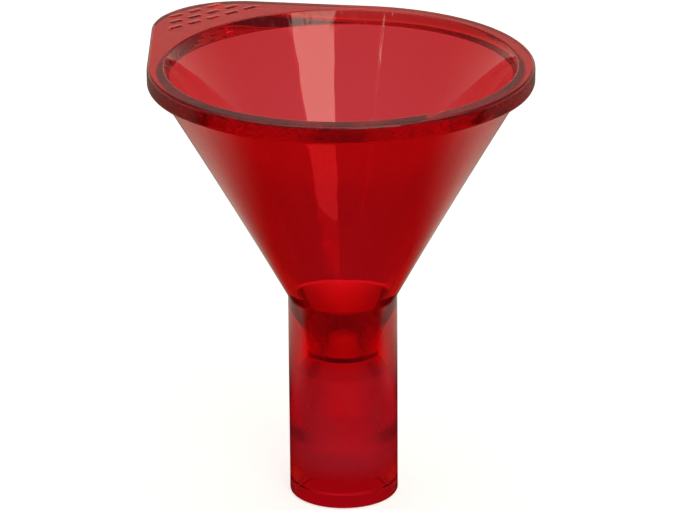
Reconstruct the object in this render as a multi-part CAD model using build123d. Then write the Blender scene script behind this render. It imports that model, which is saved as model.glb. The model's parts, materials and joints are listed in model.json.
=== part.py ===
from build123d import *
import os
from math import cos, radians, sin

# A small hand funnel for powders and fine dry goods, moulded in one piece from clear tinted plastic.
# The frame has its origin on the axis at the spout's open end, with +Z up to the mouth. The thumb tab
# points along -X. All sizes are millimetres.
#
# The object is a single moulding. It is written as named zones that meet face to face, cut where the
# wall changes its job: the rim, the hopper, the neck, the two sockets, and the tab with its bars.

# Overall sizes
total_height = 68.0
rim_radius = 28.5
mouth_radius = 26.0
rim_thickness = 2.8

# Hopper: a cone that flares very slightly, with a wall that thickens from its foot to the rim
hopper_foot_height = 31.8
hopper_head_radius = 26.95
hopper_flare_radius = 1085.0
hopper_foot_wall = 1.66

# Spout: plain outside, and inside a throat above two tapered sockets and a short lead-in
spout_radius = 8.2
throat_radius = 3.25
throat_low = 22.4
throat_shoulder_drop = 2.8
upper_socket_top_radius = 4.25
upper_socket_low_radius = 5.15
socket_step_height = 11.0
socket_step_drop = 2.4
lower_socket_top_radius = 6.2
lower_socket_low_radius = 6.65
outlet_radius = 7.0
outlet_depth = 1.8

# Rounded edges
rim_edge_radius = 0.5
mouth_edge_radius = 0.3
rim_root_radius = 0.5
foot_blend_radius = 1.5
throat_blend_radius = 12.5
outlet_edge_radius = 0.3

# Thumb tab: its two straight sides are tangent to the rim and meet in one broad round corner
tab_half_angle = 49.5
tab_corner_radius = 13.0

# Raised bars on the tab, in rows across it: distance of each row from the axis, and its count
bar_rows = {29.8: 5, 32.0: 4, 34.2: 3}
bar_pitch = 3.6
bar_length = 2.6
bar_width = 0.9
bar_height = 0.12

rim_underside = total_height - rim_thickness
neck_low = throat_low - throat_shoulder_drop
step_foot = socket_step_height - socket_step_drop
outlet_top = outlet_depth + outlet_radius - lower_socket_low_radius


def moulding_section():
    """The section right of the axis: spout, hopper and the rim as far as its outer edge rounding."""
    rim_band = rim_radius - rim_edge_radius
    mouth_corner = (mouth_radius, total_height)
    hopper_head = (hopper_head_radius, rim_underside)
    hopper_foot = (spout_radius, hopper_foot_height)
    outlet_corner = (spout_radius, 0)
    # The hopper's inside runs on past its foot, down to the throat.
    inner_foot_radius = spout_radius - hopper_foot_wall
    rise = (total_height - hopper_foot_height) / (mouth_radius - inner_foot_radius)
    throat_top = (throat_radius, hopper_foot_height - (inner_foot_radius - throat_radius) * rise)
    with BuildSketch(Plane.XZ) as section:
        with BuildLine():
            Polyline((outlet_radius, 0), outlet_corner, hopper_foot)
            RadiusArc(hopper_foot, hopper_head, hopper_flare_radius)
            Polyline(hopper_head, (rim_band, rim_underside), (rim_band, total_height), mouth_corner)
            RadiusArc(mouth_corner, throat_top, -hopper_flare_radius)
            Polyline(
                throat_top,
                (throat_radius, throat_low),
                (upper_socket_top_radius, neck_low),
                (upper_socket_low_radius, socket_step_height),
                (lower_socket_top_radius, step_foot),
                (lower_socket_low_radius, outlet_top),
                (outlet_radius, outlet_depth),
                (outlet_radius, 0),
            )
        make_face()
        corners = {
            mouth_corner: mouth_edge_radius,
            hopper_head: rim_root_radius,
            hopper_foot: foot_blend_radius,
            throat_top: throat_blend_radius,
            outlet_corner: outlet_edge_radius,
        }
        for corner, blend in corners.items():
            fillet(section.vertices().sort_by_distance(Vector(*corner))[0], blend)
    return section.sketch


def tab_plan():
    """Plan of the tab: the two tangents to the rim and the round corner, closed through the axis."""
    half = radians(tab_half_angle)
    tangent_x = -rim_radius * cos(half)
    tangent_y = rim_radius * sin(half)
    tip_x = -rim_radius / cos(half)
    with BuildSketch() as plan:
        with BuildLine():
            Polyline((0, 0), (tangent_x, tangent_y), (tip_x, 0), (tangent_x, -tangent_y), close=True)
        make_face()
        fillet(plan.vertices().sort_by(Axis.X)[0], tab_corner_radius)
    return plan.sketch


def rim_edge_band():
    """The outermost band of the rim, with the tab, and their top and bottom edges rounded."""
    with BuildPart() as band:
        with BuildSketch(Plane.XY.offset(rim_underside)):
            Circle(rim_radius)
            add(tab_plan())
        extrude(amount=rim_thickness)
        fillet(band.faces().filter_by(Axis.Z).edges(), rim_edge_radius)
        with Locations((0, 0, rim_underside)):
            Cylinder(
                rim_radius - rim_edge_radius,
                rim_thickness,
                align=(Align.CENTER, Align.CENTER, Align.MIN),
                mode=Mode.SUBTRACT,
            )
    return band.part


def tab_bars():
    """Straight rows of round-ended bars standing on the tab."""
    with BuildPart() as bars:
        for distance, count in bar_rows.items():
            with BuildSketch(Plane.XY.offset(total_height)):
                with Locations((-distance, 0)):
                    with GridLocations(0, bar_pitch, 1, count):
                        SlotOverall(bar_length, bar_width, rotation=90)
            extrude(amount=bar_height)
    return bars.part


def slice_between(body, low, high):
    """The part of the body between two heights."""
    width = 4 * rim_radius
    return body & Pos(0, 0, (low + high) / 2) * Box(width, width, high - low)


def build_zones():
    """Every named zone of the moulding, each a solid or a set of solids of its own."""
    moulding = revolve(moulding_section(), Axis.Z) + rim_edge_band()
    rim_plate = slice_between(moulding, rim_underside, total_height)
    # The tab begins where the rim's circle ends, on the plane that touches it.
    tab_side = Pos(-rim_radius, 0, 0) * Box(
        2 * rim_radius, 4 * rim_radius, 2 * total_height, align=(Align.MAX, Align.CENTER, Align.MIN)
    )
    return {
        "rim_flange": rim_plate - tab_side,
        "thumb_tab": rim_plate & tab_side,
        "tab_grip_bars": tab_bars(),
        "hopper_cone": slice_between(moulding, hopper_foot_height, rim_underside),
        "spout_neck": slice_between(moulding, neck_low, hopper_foot_height),
        "upper_socket": slice_between(moulding, step_foot, neck_low),
        "lower_socket": slice_between(moulding, 0, step_foot),
    }


os.makedirs("parts", exist_ok=True)
for name, zone in build_zones().items():
    zone.label = name
    export_step(zone, f"parts/{name}.step")
    print(f"{name}: {len(zone.solids())} solid(s), {zone.volume:.1f} cubic mm")
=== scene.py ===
"""A small clear red funnel, moulded in one piece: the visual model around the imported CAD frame.

One closed mesh stands for every CAD zone, because the real wall is seamless and is looked through.
Lengths are in millimetres, which MM turns to metres. Only the lamp's, the floor's and the camera's clipping
are in metres. Angles are in degrees.
"""

import bpy
import json
import math
import numpy as np
from mathutils import Matrix, Vector


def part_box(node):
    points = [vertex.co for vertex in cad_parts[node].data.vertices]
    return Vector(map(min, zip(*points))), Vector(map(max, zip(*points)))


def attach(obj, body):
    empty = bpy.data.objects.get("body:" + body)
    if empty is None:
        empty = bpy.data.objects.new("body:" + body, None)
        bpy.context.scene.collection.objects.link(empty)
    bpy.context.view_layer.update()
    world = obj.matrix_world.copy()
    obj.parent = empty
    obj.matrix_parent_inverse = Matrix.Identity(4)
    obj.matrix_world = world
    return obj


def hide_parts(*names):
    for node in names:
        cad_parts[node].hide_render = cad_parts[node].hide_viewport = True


MM = 0.001

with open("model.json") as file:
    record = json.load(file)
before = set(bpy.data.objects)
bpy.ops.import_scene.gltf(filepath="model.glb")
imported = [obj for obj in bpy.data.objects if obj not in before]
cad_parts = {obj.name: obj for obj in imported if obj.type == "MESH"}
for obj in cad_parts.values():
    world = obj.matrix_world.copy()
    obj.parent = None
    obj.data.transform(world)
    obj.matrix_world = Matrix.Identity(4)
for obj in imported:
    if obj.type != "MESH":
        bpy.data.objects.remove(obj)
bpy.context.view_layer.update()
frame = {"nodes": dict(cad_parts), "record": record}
mounts = {mount["name"]: mount for mount in frame["record"]["mounts"]}

# Heights and radii that the frame gives, in millimetres
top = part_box("rim_flange")[1].z / MM
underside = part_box("rim_flange")[0].z / MM
hopper_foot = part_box("hopper_cone")[0].z / MM
neck_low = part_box("spout_neck")[0].z / MM
step_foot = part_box("lower_socket")[1].z / MM
rim_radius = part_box("rim_flange")[1].x / MM
spout_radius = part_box("lower_socket")[1].x / MM
outlet_radius = mounts["outlet_bore"]["dims"]["r_mm"]
outlet_depth = mounts["outlet_bore"]["dims"]["length_mm"]

# The rest of the section, as the CAD model has it
mouth_radius = 26.0
hopper_head_radius = 26.95
hopper_foot_wall = 1.66
throat_radius = 3.25
throat_low = neck_low + 2.8
upper_socket_radii = (4.25, 5.15)
step_height = step_foot + 2.4
lower_socket_radii = (6.2, 6.65)
outlet_top = outlet_depth + outlet_radius - lower_socket_radii[1]

# How far the middle of the hopper's flared walls lies inside a straight cone, outside and inside
outer_sag = 0.19
inner_sag = 0.3

# How far the moulding's corners are rounded
outer_end_rounding = 0.3
inner_end_rounding = 0.15
hopper_foot_rounding = 1.5
rim_rounding = 0.5
mouth_rounding = 0.3
throat_rounding = 12.5
shoulder_rounding = 1.5
step_rounding = 4.0
lip_rounding = 0.2

# Thumb tab: half the angle between its tangent points, seen from the axis, and its round corner.
# The rim is stretched out to the tab from this radius on.
tab_half_angle = 49.5
tab_corner_radius = 13.0
tab_stretch_radius = 27.25

# Raised bars on the tab: how many are in each row from the rim outward, and their soft edge
bar_counts = (5, 4, 3)
bar_pitch = 3.6
bar_length = 2.6
bar_width = 0.9
bar_edge = 0.45

# A fine weld line down the inside of the hopper, which hooks aside close to the rim
weld_angle = 124.6
weld_height = 0.2
weld_half_width = 0.24
weld_fade = 12.0
weld_hook_angle = 3.0
weld_hook_depth = 1.3

# The mesh's columns: an even pitch, and stretches with a finer one for the bars and the weld line
column_pitch = 1.5
fine_stretches = [(164.5, 195.5, 0.28), (121.3, 125.8, 0.1)]


# ---------------------------------------------------------------- section

def corner_arc(before, corner, after, radius, steps=6):
    """Points of the arc that rounds one corner of a path."""
    back = (before - corner) / np.linalg.norm(before - corner)
    ahead = (after - corner) / np.linalg.norm(after - corner)
    half = math.acos(np.clip(back @ ahead, -1, 1)) / 2
    run = radius / math.tan(half)
    middle = (back + ahead) / np.linalg.norm(back + ahead)
    centre = corner + middle * radius / math.sin(half)
    first = corner + back * run - centre
    last = corner + ahead * run - centre
    turn = math.pi - 2 * half
    shares = np.linspace(0, 1, steps + 1)
    leading = np.sin((1 - shares) * turn) / math.sin(turn)
    trailing = np.sin(shares * turn) / math.sin(turn)
    return list(centre + leading[:, None] * first + trailing[:, None] * last)


def rounded_path(corners):
    """A path through (radius, height, rounding, rows on the run that follows): its points, ends included."""
    points = [np.array(corner[:2], float) for corner in corners]
    path = [points[0]]
    for i, (_, _, rounding, rows) in enumerate(corners):
        if 0 < i < len(corners) - 1:
            path += corner_arc(points[i - 1], points[i], points[i + 1], rounding)
        if i == len(corners) - 1:
            break
        start = path[-1]
        end = points[i + 1]
        if i + 2 < len(corners):
            end = corner_arc(points[i], points[i + 1], points[i + 2], corners[i + 1][2])[0]
        path += [start + (end - start) * s / rows for s in range(1, rows)]
    path.append(points[-1])
    return np.array(path)


def flare(low, high, sag, heights):
    """How far a flared wall lies inside the straight cone, by height: nothing at both ends."""
    share = np.clip((heights - low) / (high - low), 0, 1)
    return sag * 4 * share * (1 - share)


def section():
    """The closed section of the moulding: radii, heights, and which rows lie inward of the rim's edge."""
    inner_foot_radius = spout_radius - hopper_foot_wall
    rise = (top - hopper_foot) / (mouth_radius - inner_foot_radius)
    throat_top = hopper_foot - (inner_foot_radius - throat_radius) * rise
    end_middle = (outlet_radius + spout_radius) / 2
    corners = [
        (end_middle, 0, 0, 3),
        (spout_radius, 0, outer_end_rounding, 12),
        (spout_radius, hopper_foot, hopper_foot_rounding, 20),
        (hopper_head_radius, underside, rim_rounding, 6),
        (rim_radius, underside, rim_rounding, 5),
        (rim_radius, top, rim_rounding, 68),
        (mouth_radius, top, mouth_rounding, 36),
        (throat_radius, throat_top, throat_rounding, 3),
        (throat_radius, throat_low, shoulder_rounding, 3),
        (upper_socket_radii[0], neck_low, shoulder_rounding, 6),
        (upper_socket_radii[1], step_height, step_rounding, 2),
        (lower_socket_radii[0], step_foot, step_rounding, 5),
        (lower_socket_radii[1], outlet_top, lip_rounding, 2),
        (outlet_radius, outlet_depth, lip_rounding, 2),
        (outlet_radius, 0, inner_end_rounding, 2),
        (end_middle, 0, 0, 0),
    ]
    path = rounded_path(corners)[:-1]
    radii, heights = path[:, 0], path[:, 1]
    past_rim = np.arange(len(radii)) > int(np.argmax(radii))
    inside = past_rim & (radii < rim_radius - rim_rounding)
    radii = radii - np.where(
        inside,
        flare(throat_top, top, inner_sag, heights),
        flare(hopper_foot, underside, outer_sag, heights),
    )
    return radii, heights, inside


# ---------------------------------------------------------------- plan

def plan_radius(angles):
    """The rim's outer radius by angle: a circle, and the tab with its round corner along -X."""
    off = np.abs(angles % 360 - 180)
    half = math.radians(tab_half_angle)
    centre = (rim_radius - tab_corner_radius) / math.cos(half)
    corner_end = math.degrees(
        math.atan2(tab_corner_radius * math.sin(half), centre + tab_corner_radius * math.cos(half))
    )
    along = np.radians(off)
    across = np.clip(centre * np.sin(along), -tab_corner_radius, tab_corner_radius)
    corner = centre * np.cos(along) + np.sqrt(tab_corner_radius**2 - across**2)
    side = rim_radius / np.cos(half - along)
    return np.where(off < corner_end, corner, np.where(off < tab_half_angle, side, rim_radius))


def column_angles():
    """Angles of the mesh's columns, all the way round."""
    even = np.arange(0, 360, column_pitch)
    angles = [a for a in even if not any(low <= a < high for low, high, _ in fine_stretches)]
    for low, high, pitch in fine_stretches:
        angles += list(np.arange(low, high, pitch))
    return np.array(sorted(angles))


def bar_relief(x, y):
    """Height of the raised bars over the tab's top, at points in plan."""
    low, high = (np.array(corner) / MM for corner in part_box("tab_grip_bars"))
    rows = np.linspace(high[0] - bar_width / 2, low[0] + bar_width / 2, len(bar_counts))
    relief = np.zeros_like(x)
    for row, count in zip(rows, bar_counts):
        for i in range(count):
            middle = (i - (count - 1) / 2) * bar_pitch
            past_end = np.maximum(np.abs(y - middle) - (bar_length - bar_width) / 2, 0)
            inside = bar_width / 2 - np.hypot(x - row, past_end)
            share = np.clip(inside / bar_edge, 0, 1)
            relief = np.maximum(relief, share * share * (3 - 2 * share))
    return relief * (high[2] - low[2])


def weld_relief(angles, radii, heights):
    """Height of the weld line over the hopper's inside: it wanders a little and hooks aside at the rim."""
    slow_wave = 0.2 * np.sin(heights * 0.5)
    quick_wave = 0.16 * np.sin(heights * 1.3 + 1)
    hook = -weld_hook_angle * np.clip(heights - (top - weld_hook_depth), 0, 1) ** 2
    away = np.radians(angles - weld_angle - slow_wave - quick_wave - hook) * radii
    fade = np.clip((heights - hopper_foot) / weld_fade, 0, 1)
    return weld_height * fade * np.exp(-((away / weld_half_width) ** 2))


# ---------------------------------------------------------------- mesh

def funnel_mesh():
    """One closed skin: the section carried round the axis, stretched out to the tab."""
    radii, heights, inside = section()
    angles = column_angles()
    stretch_run = rim_radius - rim_rounding - tab_stretch_radius
    stretch = np.clip((radii - tab_stretch_radius) / stretch_run, 0, 1)
    reach = (plan_radius(angles) - rim_radius)[:, None] * stretch[None, :]
    r = radii[None, :] + reach
    z = np.repeat(heights[None, :], len(angles), axis=0)
    turn = np.radians(angles)[:, None]
    r = r - np.where(inside[None, :], weld_relief(angles[:, None], r, z), 0)
    x, y = r * np.cos(turn), r * np.sin(turn)
    on_top = np.isclose(heights, top)
    z = z + np.where(on_top[None, :], bar_relief(x, y), 0)
    points = np.stack([x, y, z], axis=-1).reshape(-1, 3) * MM
    columns, rows = len(angles), len(radii)
    faces = []
    for column in range(columns):
        here, beside = column * rows, (column + 1) % columns * rows
        for row in range(rows):
            after = (row + 1) % rows
            faces.append((here + row, beside + row, beside + after, here + after))
    mesh = bpy.data.meshes.new("funnel")
    mesh.from_pydata(points.tolist(), [], faces)
    mesh.shade_smooth()
    mesh.validate()
    return mesh


# ---------------------------------------------------------------- nodes

def feed(tree, value, socket):
    """Set an input to a number, or link it to a socket."""
    if isinstance(value, (int, float)):
        socket.default_value = value
    else:
        tree.links.new(value, socket)


def mixed(tree, factor, first, second):
    """The first shader where the factor is 0, the second where it is 1."""
    mix = tree.nodes.new("ShaderNodeMixShader")
    tree.links.new(factor, mix.inputs["Fac"])
    tree.links.new(first, mix.inputs[1])
    tree.links.new(second, mix.inputs[2])
    return mix.outputs["Shader"]


def both(tree, first, second):
    """One shader's light on top of another's."""
    node = tree.nodes.new("ShaderNodeAddShader")
    tree.links.new(first, node.inputs[0])
    tree.links.new(second, node.inputs[1])
    return node.outputs["Shader"]


def glow(tree, colour, strength):
    """An emission shader. Its strength is a number or a socket."""
    emission = tree.nodes.new("ShaderNodeEmission")
    emission.inputs["Color"].default_value = (*colour, 1.0)
    feed(tree, strength, emission.inputs["Strength"])
    return emission.outputs["Emission"]


def matt(tree, grey):
    """A diffuse shader of one grey."""
    diffuse = tree.nodes.new("ShaderNodeBsdfDiffuse")
    diffuse.inputs["Color"].default_value = (grey, grey, grey, 1.0)
    return diffuse.outputs["BSDF"]


def math_node(tree, operation, first, second=0.0):
    """One operation on one or two values, each a socket or a number."""
    node = tree.nodes.new("ShaderNodeMath")
    node.operation = operation
    feed(tree, first, node.inputs[0])
    feed(tree, second, node.inputs[1])
    return node.outputs["Value"]


def product(tree, first, *others):
    """All the values multiplied together."""
    for other in others:
        first = math_node(tree, "MULTIPLY", first, other)
    return first


def total(tree, first, *others):
    """All the values added together."""
    for other in others:
        first = math_node(tree, "ADD", first, other)
    return first


def rest_of(tree, share):
    """What is left of 1 beside a share."""
    return math_node(tree, "SUBTRACT", 1.0, share)


def share_between(tree, value, none_at, all_at):
    """A share that goes smoothly from 0 to 1 as the value goes from one number to the other."""
    ramp = tree.nodes.new("ShaderNodeMapRange")
    ramp.interpolation_type = "SMOOTHSTEP"
    ramp.inputs["From Min"].default_value = none_at
    ramp.inputs["From Max"].default_value = all_at
    tree.links.new(value, ramp.inputs["Value"])
    return ramp.outputs["Result"]


def share_along(tree, length, none_at, all_at):
    """share_between for a length, with the two numbers in millimetres."""
    return share_between(tree, length, none_at * MM, all_at * MM)


def vector_node(tree, operation, vector, other):
    """One operation on a vector from a socket and a fixed one."""
    node = tree.nodes.new("ShaderNodeVectorMath")
    node.operation = operation
    node.inputs[1].default_value = other
    tree.links.new(vector, node.inputs[0])
    return node


def dot_with(tree, vector, other):
    """How far a place or direction goes along a fixed vector."""
    return vector_node(tree, "DOT_PRODUCT", vector, other).outputs["Value"]


def stretched(tree, vector, scale):
    """A vector with each axis scaled by its own number."""
    return vector_node(tree, "MULTIPLY", vector, scale).outputs["Vector"]


def length_of(tree, vector):
    """The length of a vector."""
    node = tree.nodes.new("ShaderNodeVectorMath")
    node.operation = "LENGTH"
    tree.links.new(vector, node.inputs[0])
    return node.outputs["Value"]


def noise(tree, place, turns_per_metre, detail):
    """Noise over the object, from 0 to 1, with its own scale along each axis."""
    texture = tree.nodes.new("ShaderNodeTexNoise")
    texture.inputs["Scale"].default_value = 1.0
    texture.inputs["Detail"].default_value = detail
    tree.links.new(stretched(tree, place, turns_per_metre), texture.inputs["Vector"])
    return texture.outputs["Fac"]


# ---------------------------------------------------------------- material

refractive_index = 1.57

# How strongly the plastic absorbs red, green and blue light, per millimetre
absorbed_per_mm = (0.004, 0.68, 0.9)

# What its surface lets through of each. Of the red, the spout's surface lets all through.
surface_red = 0.9
surface_green = 0.25
surface_blue = 0.55

# Noise, in turns per metre along each axis: cloudy patches, long scuffs, drag strokes and slow ripples
patch_turns = (150, 150, 90)
scuff_turns = (2400, 2400, 260)
stroke_turns = (1300, 1300, 150)
ripple_turns = (420, 420, 200)
ripple_height = 0.015

# Levels of the noise between which a scuff or a stroke begins
scuff_levels = (0.66, 0.76)
stroke_levels = (0.56, 0.64)

# Where the surface changes: radii or heights at which a share is nothing, then all
spout_outside_radii = (7.2, 7.8)
along_spout_heights = (25.0, 19.0)
clear_end_heights = (4.0, 8.0)
dull_bore_heights = (32.0, 20.0)
polished_lip_heights = (3.0, 5.0)
mouth_heights = (64.5, 66.5)
mouth_radii = (26.2, 25.8)

# Clearness is the share of light that isn't scattered at the surface. Haze takes from it.
clearness = 0.97
spout_haze = 0.28
scuff_haze = 0.015

# Roughness of the polished surface, and what each thing adds to it
polished_roughness = 0.01
patch_roughness = 0.04
scuff_roughness = 0.03
stroke_roughness = 0.24
bore_roughness = 0.36


def clear_red_plastic():
    """Clear plastic tinted in the mass: light that crosses more of it comes out a deeper red.

    The spout is hazy outside and dull inside, fine drag strokes run down the inside of the mouth, and the
    whole surface is a little uneven and finely scuffed.
    """
    material = bpy.data.materials.new("clear_red_plastic")
    material.use_nodes = True
    tree = material.node_tree
    shader = tree.nodes["Principled BSDF"]
    shader.inputs["IOR"].default_value = refractive_index
    place = tree.nodes.new("ShaderNodeTexCoord").outputs["Object"]
    height = dot_with(tree, place, (0, 0, 1))
    radius = length_of(tree, stretched(tree, place, (1, 1, 0)))
    patches = noise(tree, place, patch_turns, detail=3)
    scuffs = share_between(tree, noise(tree, place, scuff_turns, detail=1), *scuff_levels)
    spout_outside = share_along(tree, radius, *spout_outside_radii)
    along_spout = share_along(tree, height, *along_spout_heights)

    off_end = share_along(tree, height, *clear_end_heights)
    hazy = product(tree, along_spout, off_end, spout_outside, patches, spout_haze)
    haze = total(tree, hazy, product(tree, scuffs, scuff_haze))
    clear = math_node(tree, "SUBTRACT", clearness, haze)
    tree.links.new(clear, shader.inputs["Transmission Weight"])

    below_hopper = share_along(tree, height, *dull_bore_heights)
    above_lip = share_along(tree, height, *polished_lip_heights)
    in_bore = rest_of(tree, spout_outside)
    strokes = share_between(tree, noise(tree, place, stroke_turns, detail=1), *stroke_levels)
    high_up = share_along(tree, height, *mouth_heights)
    inward = share_along(tree, radius, *mouth_radii)
    roughness = total(
        tree,
        product(tree, scuffs, scuff_roughness),
        product(tree, patches, patch_roughness),
        product(tree, below_hopper, above_lip, in_bore, bore_roughness),
        product(tree, strokes, high_up, inward, stroke_roughness),
        polished_roughness,
    )
    tree.links.new(roughness, shader.inputs["Roughness"])

    tint = tree.nodes.new("ShaderNodeCombineColor")
    red = total(tree, product(tree, along_spout, 1 - surface_red), surface_red)
    tree.links.new(red, tint.inputs["Red"])
    tint.inputs["Green"].default_value = surface_green
    tint.inputs["Blue"].default_value = surface_blue
    tree.links.new(tint.outputs["Color"], shader.inputs["Base Color"])

    bump = tree.nodes.new("ShaderNodeBump")
    bump.inputs["Distance"].default_value = ripple_height * MM
    tree.links.new(noise(tree, place, ripple_turns, detail=0.5), bump.inputs["Height"])
    tree.links.new(bump.outputs["Normal"], shader.inputs["Normal"])

    strongest = max(absorbed_per_mm)
    absorption = tree.nodes.new("ShaderNodeVolumeAbsorption")
    absorption.inputs["Color"].default_value = (*(1 - a / strongest for a in absorbed_per_mm), 1.0)
    absorption.inputs["Density"].default_value = strongest / MM
    tree.links.new(absorption.outputs["Volume"], tree.nodes["Material Output"].inputs["Volume"])
    return material


# ---------------------------------------------------------------- stage

view_azimuth = 49.5
view_elevation = 21.1
white = (1.0, 1.0, 1.0)
light_colour = (1.0, 0.95, 0.8)

# The floor, in metres, and how far it lies under the spout's end, in millimetres
floor_half_size = 4.0
floor_gap = 0.1
paper_grey = 0.94
# Dark grey of the floor in front, as light through the funnel meets it: painted shade for the dim room in
# front
painted_front_shade_grey = 0.1

# The floor's glow as the camera sees it, its painted light as light through the funnel finds it, and its
# painted reflection as the funnel mirrors it
seen_floor_glow = 0.7
# Painted light on the floor that only light through the funnel meets: a pool where rays through the spout
# land, rising with distance, and a glow far off
painted_spout_light = 0.12
painted_spout_light_rise = 0.74
painted_far_light = 0.17
# A painted red glow under the spout, standing in for the light that the funnel gathers there
painted_caustic_colour = (1.0, 0.01, 0.05)
painted_caustic_glow = 0.36
# Glow of the floor seen only in the funnel's reflections: a painted reflection, which falls away far off
painted_reflection_glow = 0.5
painted_reflection_fall = 0.7

# Where the floor's light changes: places along the view, or distances from the axis, at which a share
# is nothing, then all
floor_behind = (-20.0, 12.0)
pale_floor_run = (70.0, 110.0)
# Spread of that painted pool of light by the spout, and of the painted glow far off
painted_spout_light_reach = (75.0, 55.0)
painted_spout_light_width = (50.0, 4.0)
painted_spout_light_run = (35.0, 60.0)
painted_far_light_run = (130.0, 170.0)
# Reach of the painted red glow under the spout
painted_caustic_reach = (9.5, 7.5)
# The painted shadow close to the object in that painted reflection, and the reflection's fall far away
painted_shadow_run = (40.0, 80.0)
painted_reflection_fall_run = (80.0, 170.0)

# The world's strengths: the room in front, the backdrop at the floor and its fall, and overhead
room_glow = 0.06
backdrop_glow = 0.72
backdrop_fall = 0.63
overhead_glow = 1.1

# Where the world changes, on a sphere of radius 1: how far up, or how far behind the object
overhead_run = (0.65, 1.0)
backdrop_fall_run = (0.0, 0.5)
world_behind = (-0.3, 0.3)

# Camera: its distance and the point that it looks at
camera_distance = 600.0
camera_lens = 212.8
camera_roll = -0.44
target_height = 37.87
target_aside = -0.353


def direction(azimuth, elevation):
    """Unit vector from the object towards a place, with azimuth as the views count it."""
    a, e = math.radians(azimuth), math.radians(elevation)
    return Vector((math.sin(a) * math.cos(e), -math.cos(a) * math.cos(e), math.sin(e)))


def floor_with_painted_light(tree, distance, behind_share, aside):
    """The floor as light through the funnel finds it, with painted light and painted shade.

    It is painted dark in front, as painted shade, and pale behind and far away. Painted light brightens it
    where the rays through the spout land, and a painted red glow lies under the spout, for the light that
    the funnel gathers there.
    """
    # Painted light: a pool of glow where the rays through the spout land, and a glow far off
    in_reach = share_along(tree, distance, *painted_spout_light_reach)
    in_width = share_along(tree, aside, *painted_spout_light_width)
    rising = product(tree, share_along(tree, distance, *painted_spout_light_run), painted_spout_light_rise)
    near = product(tree, in_reach, in_width, total(tree, rising, painted_spout_light))
    far = product(tree, share_along(tree, distance, *painted_far_light_run), painted_far_light)
    pale = both(tree, matt(tree, paper_grey), glow(tree, light_colour, total(tree, near, far)))
    pale_share = math_node(tree, "MAXIMUM", behind_share, share_along(tree, distance, *pale_floor_run))
    # Painted shade: the floor is dark in front, and pale behind and far away
    lit = mixed(tree, pale_share, matt(tree, painted_front_shade_grey), pale)
    # Painted red glow under the spout, for the light that the funnel gathers
    painted_caustic = glow(tree, painted_caustic_colour, painted_caustic_glow)
    return mixed(tree, share_along(tree, distance, *painted_caustic_reach), lit, painted_caustic)


def painted_floor_reflection(tree, distance, behind_share):
    """Painted reflection: the floor as only the funnel's surface mirrors it, pale behind, with painted
    shadow close by and dimmer far away.
    """
    # Painted shadow: the mirrored floor is dark close to the object
    outside_painted_shadow = share_along(tree, distance, *painted_shadow_run)
    dimming = product(tree, share_along(tree, distance, *painted_reflection_fall_run), painted_reflection_fall)
    strength = product(tree, behind_share, outside_painted_shadow, painted_reflection_glow, rest_of(tree, dimming))
    return glow(tree, light_colour, strength)


def make_floor():
    """A pale floor: plain paper to the camera, with painted light, painted shade and a painted reflection
    that only the funnel's rays see.
    """
    mesh = bpy.data.meshes.new("floor")
    half = floor_half_size
    corners = [(-half, -half, 0), (half, -half, 0), (half, half, 0), (-half, half, 0)]
    mesh.from_pydata(corners, [], [(0, 1, 2, 3)])
    floor = bpy.data.objects.new("floor", mesh)
    floor.location.z = -floor_gap * MM
    bpy.context.scene.collection.objects.link(floor)
    material = bpy.data.materials.new("pale_floor")
    material.use_nodes = True
    tree = material.node_tree
    tree.nodes.remove(tree.nodes["Principled BSDF"])
    place = tree.nodes.new("ShaderNodeNewGeometry").outputs["Position"]
    distance = length_of(tree, place)
    behind_share = share_along(tree, dot_with(tree, place, -direction(view_azimuth, 0)), *floor_behind)
    aside = math_node(tree, "ABSOLUTE", dot_with(tree, place, direction(view_azimuth + 90, 0)))

    path = tree.nodes.new("ShaderNodeLightPath")
    seen = both(tree, matt(tree, paper_grey), glow(tree, white, seen_floor_glow))
    lit = floor_with_painted_light(tree, distance, behind_share, aside)
    surface = mixed(tree, path.outputs["Is Camera Ray"], lit, seen)
    # The floor that the funnel mirrors is a painted reflection
    painted_reflection = painted_floor_reflection(tree, distance, behind_share)
    surface = mixed(tree, path.outputs["Is Reflection Ray"], surface, painted_reflection)
    tree.links.new(surface, tree.nodes["Material Output"].inputs["Surface"])
    mesh.materials.append(material)


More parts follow.
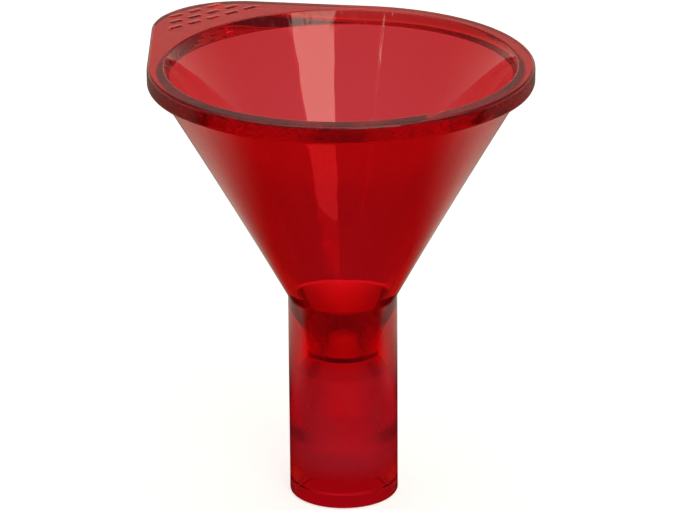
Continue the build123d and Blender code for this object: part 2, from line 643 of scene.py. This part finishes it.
def make_world():
    """A soft studio: a pale backdrop behind the object, a dimmer room in front, brighter overhead."""
    world = bpy.data.worlds.new("studio")
    bpy.context.scene.world = world
    world.use_nodes = True
    tree = world.node_tree
    background = tree.nodes["Background"]
    background.inputs["Color"].default_value = (*light_colour, 1.0)
    towards = tree.nodes.new("ShaderNodeTexCoord").outputs["Generated"]
    upward = dot_with(tree, towards, (0, 0, 1))
    overhead = product(tree, share_between(tree, upward, *overhead_run), overhead_glow)
    fall = product(tree, share_between(tree, upward, *backdrop_fall_run), backdrop_fall)
    backdrop = math_node(tree, "SUBTRACT", backdrop_glow, fall)
    behind = dot_with(tree, towards, -direction(view_azimuth, 0))
    gain = math_node(tree, "SUBTRACT", backdrop, room_glow)
    gain = product(tree, gain, share_between(tree, behind, *world_behind))
    tree.links.new(total(tree, room_glow, gain, overhead), background.inputs["Strength"])
    path = tree.nodes.new("ShaderNodeLightPath")
    studio = background.outputs["Background"]
    surface = mixed(tree, path.outputs["Is Camera Ray"], studio, glow(tree, white, 1.0))
    tree.links.new(surface, tree.nodes["World Output"].inputs["Surface"])


def softbox(name, azimuth, elevation, distance, width, height, radiance):
    """A rectangular lamp, with sizes in metres, that faces the object and isn't itself in the picture."""
    lamp = bpy.data.lights.new(name, "AREA")
    lamp.color = light_colour
    lamp.shape = "RECTANGLE"
    lamp.size = width
    lamp.size_y = height
    lamp.energy = math.pi * width * height * radiance
    lamp_object = bpy.data.objects.new(name, lamp)
    towards = direction(azimuth, elevation)
    lamp_object.location = Vector((0, 0, underside * MM)) + towards * distance
    lamp_object.rotation_euler = towards.to_track_quat("Z", "Y").to_euler()
    lamp_object.visible_camera = False
    bpy.context.scene.collection.objects.link(lamp_object)


def make_camera():
    """A long lens that looks down into the mouth, with a slight roll."""
    camera = bpy.data.cameras.new("camera")
    camera.lens = camera_lens
    camera.sensor_width = 36.0
    camera.clip_start = 0.05
    camera.clip_end = 20.0
    camera_object = bpy.data.objects.new("camera", camera)
    bpy.context.scene.collection.objects.link(camera_object)
    bpy.context.scene.camera = camera_object
    roll = math.radians(camera_roll)
    back = direction(view_azimuth, view_elevation)
    level = direction(view_azimuth + 90, 0)
    right = level * math.cos(roll) + back.cross(level) * math.sin(roll)
    target = Vector((0, 0, target_height * MM)) + level * target_aside * MM
    axes = Matrix((right, back.cross(right), back)).transposed()
    camera_object.matrix_world = Matrix.Translation(target + back * camera_distance * MM) @ axes.to_4x4()


# ---------------------------------------------------------------- scene

funnel = bpy.data.objects.new("funnel", funnel_mesh())
bpy.context.scene.collection.objects.link(funnel)
funnel.data.materials.append(clear_red_plastic())
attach(funnel, "root")
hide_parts(*sorted(frame["nodes"]))

make_floor()
make_world()
softbox(
    "key_softbox",
    azimuth=view_azimuth + 22.2,
    elevation=44,
    distance=0.9,
    width=0.39,
    height=0.3,
    radiance=2.65,
)
make_camera()
bpy.context.scene.view_settings.view_transform = "Standard"
light_paths = bpy.context.scene.cycles
light_paths.max_bounces = 48
light_paths.glossy_bounces = 40
light_paths.transmission_bounces = 40
